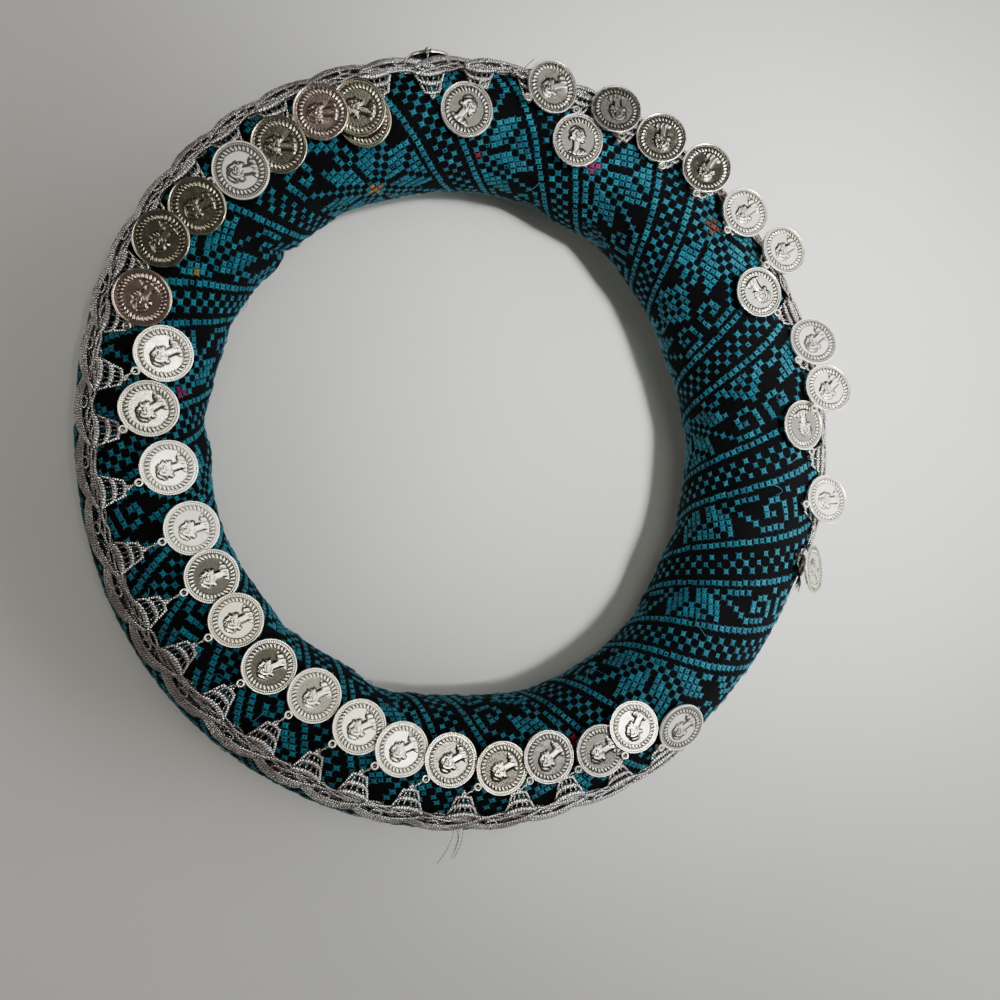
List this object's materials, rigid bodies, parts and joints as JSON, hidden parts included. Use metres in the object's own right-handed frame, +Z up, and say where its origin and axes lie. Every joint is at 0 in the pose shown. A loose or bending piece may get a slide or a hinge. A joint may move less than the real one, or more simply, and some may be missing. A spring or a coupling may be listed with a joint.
{
  "type": "coin headdress",
  "caption": "Padded ring of cross-stitched cloth worn round the head, with a silver braid of pierced fans and a row of hanging coins.",
  "frame": {"origin": "middle of the object's box on the surface that it rests on, about 3 mm from the middle of the head opening", "axes": "+Z up out of the head opening; +X towards the side where the coins are turned out, and +Y towards the far side of the picture"},
  "size_m": [0.2722, 0.2812, 0.0529],
  "materials": {
    "stitched_cloth": "black cotton cloth covered with teal cross-stitch",
    "silver_gimp": "woven silver thread, worn",
    "coin_metal": "struck pale metal, worn shine"
  },
  "bodies": {
    "root": {"padded_ring": "stitched_cloth", "gimp_braid": "silver_gimp", "coin_01": "coin_metal", "coin_02": "coin_metal", "coin_03": "coin_metal", "coin_04": "coin_metal", "coin_05": "coin_metal", "coin_06": "coin_metal", "coin_07": "coin_metal", "coin_08": "coin_metal", "coin_09": "coin_metal", "coin_10": "coin_metal", "coin_11": "coin_metal", "coin_12": "coin_metal", "coin_13": "coin_metal", "coin_14": "coin_metal", "coin_15": "coin_metal", "coin_16": "coin_metal", "coin_17": "coin_metal", "coin_18": "coin_metal", "coin_19": "coin_metal", "coin_20": "coin_metal", "coin_21": "coin_metal", "coin_22": "coin_metal", "coin_23": "coin_metal", "coin_24": "coin_metal", "coin_25": "coin_metal", "coin_26": "coin_metal", "coin_27": "coin_metal", "coin_28": "coin_metal", "coin_29": "coin_metal", "coin_30": "coin_metal", "coin_31": "coin_metal", "coin_32": "coin_metal", "coin_33": "coin_metal", "coin_34": "coin_metal", "coin_35": "coin_metal", "coin_36": "coin_metal", "coin_37": "coin_metal", "coin_38": "coin_metal", "coin_39": "coin_metal"}
  },
  "joints": []
}
